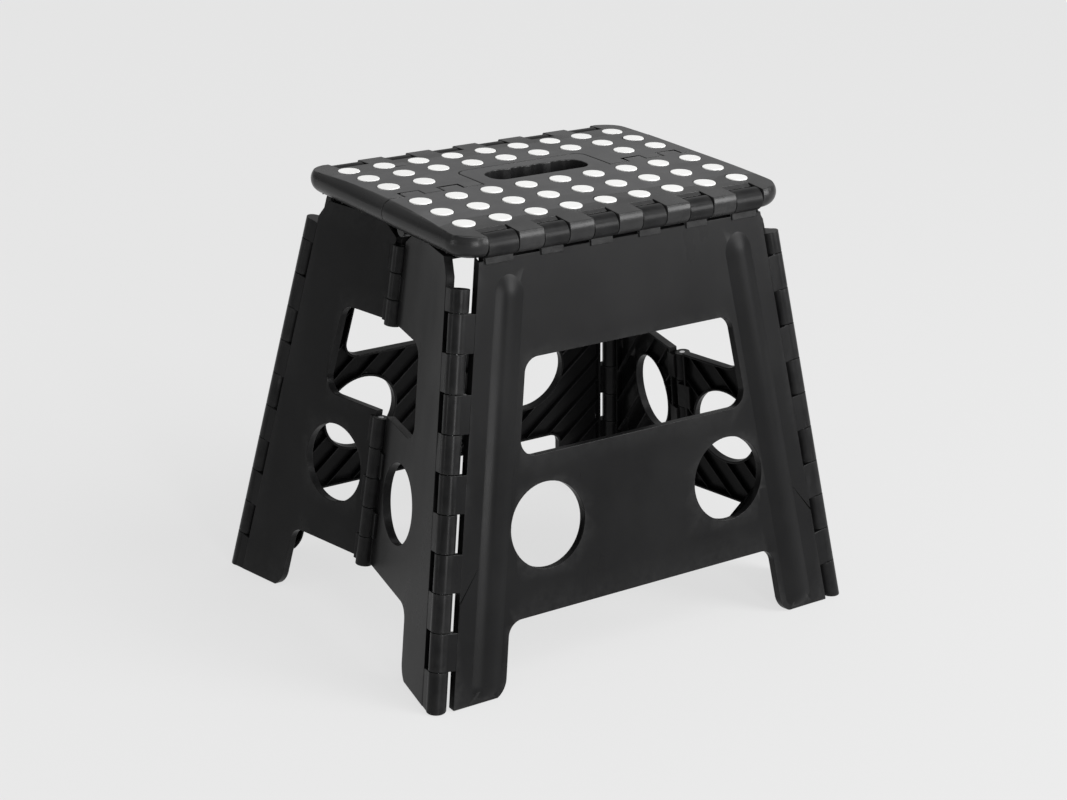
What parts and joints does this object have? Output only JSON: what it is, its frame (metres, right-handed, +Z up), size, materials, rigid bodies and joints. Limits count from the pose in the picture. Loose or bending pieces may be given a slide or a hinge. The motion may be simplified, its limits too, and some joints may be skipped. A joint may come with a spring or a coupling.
{
  "type": "folding step stool",
  "caption": "Folding step stool with a split top with grip dots and a hand slot, leaning leg panels, and side panels that fold inwards on pinned hinges.",
  "frame": {"origin": "middle of the footprint, on the floor", "axes": "+X along the length of the top, +Y from the front leg panel to the rear one, +Z up"},
  "size_m": [0.4418, 0.3578, 0.3863],
  "materials": {
    "top": "fine grain, slight sheen",
    "panel": "fine grain, satin",
    "dots": "matt white, slightly soft",
    "pin": "drawn steel wire",
    "pad": "matt black"
  },
  "bodies": {
    "leg_front": {"leg_front": "panel", "foot_pads_front": "pad", "edge_pin_front": "pin"},
    "top_front": {"top_front": "top", "grip_dots_front": "dots", "seam_pin_left": "pin", "seam_pin_right": "pin"},
    "top_rear": {"top_rear": "top", "grip_dots_rear": "dots"},
    "leg_rear": {"leg_rear": "panel", "foot_pads_rear": "pad", "edge_pin_rear": "pin"},
    "side_left_front": {"side_left_front": "panel", "corner_pin_left_front": "pin", "foot_pad_left_front": "pad"},
    "side_right_front": {"side_right_front": "panel", "corner_pin_right_front": "pin", "foot_pad_right_front": "pad"},
    "side_left_rear": {"side_left_rear": "panel", "corner_pin_left_rear": "pin", "foot_pad_left_rear": "pad", "fold_pins_left": "pin"},
    "side_right_rear": {"side_right_rear": "panel", "corner_pin_right_rear": "pin", "foot_pad_right_rear": "pad", "fold_pins_right": "pin"}
  },
  "joints": [
    {"name": "main_fold", "type": "hinge", "parent": "top_front", "child": "top_rear", "pos_m": [0, 0, 0.3552], "axis": [-1, 0, 0], "range_deg": [0, 180]},
    {"name": "front_edge_hinge", "type": "hinge", "parent": "leg_front", "child": "top_front", "pos_m": [0, -0.1185, 0.372], "axis": [1, 0, 0], "range_deg": [0, 81.62]},
    {"name": "rear_edge_hinge", "type": "hinge", "parent": "top_rear", "child": "leg_rear", "pos_m": [0, 0.1185, 0.372], "axis": [1, 0, 0], "range_deg": [0, 81.62]},
    {"name": "corner_hinge_left_front", "type": "hinge", "parent": "leg_front", "child": "side_left_front", "pos_m": [-0.21259, -0.16998, 0], "axis": [-0.1537, -0.1563, -0.9757], "range_deg": [0, 78.77]},
    {"name": "corner_hinge_right_front", "type": "hinge", "parent": "leg_front", "child": "side_right_front", "pos_m": [0.21259, -0.16998, 0], "axis": [-0.1537, 0.1563, 0.9757], "range_deg": [0, 78.77]},
    {"name": "corner_hinge_left_rear", "type": "hinge", "parent": "leg_rear", "child": "side_left_rear", "pos_m": [-0.21259, 0.16998, 0], "axis": [0.1537, -0.1563, 0.9757], "range_deg": [0, 78.77]},
    {"name": "corner_hinge_right_rear", "type": "hinge", "parent": "leg_rear", "child": "side_right_rear", "pos_m": [0.21259, 0.16998, 0], "axis": [0.1537, 0.1563, -0.9757], "range_deg": [0, 78.77]}
  ],
  "couplings": [
    {"joint": "front_edge_hinge", "follows": "main_fold", "ratio": 0.45345},
    {"joint": "rear_edge_hinge", "follows": "main_fold", "ratio": 0.45345},
    {"joint": "corner_hinge_left_front", "follows": "main_fold", "ratio": 0.43761},
    {"joint": "corner_hinge_right_front", "follows": "main_fold", "ratio": 0.43761},
    {"joint": "corner_hinge_left_rear", "follows": "main_fold", "ratio": 0.43761},
    {"joint": "corner_hinge_right_rear", "follows": "main_fold", "ratio": 0.43761}
  ]
}
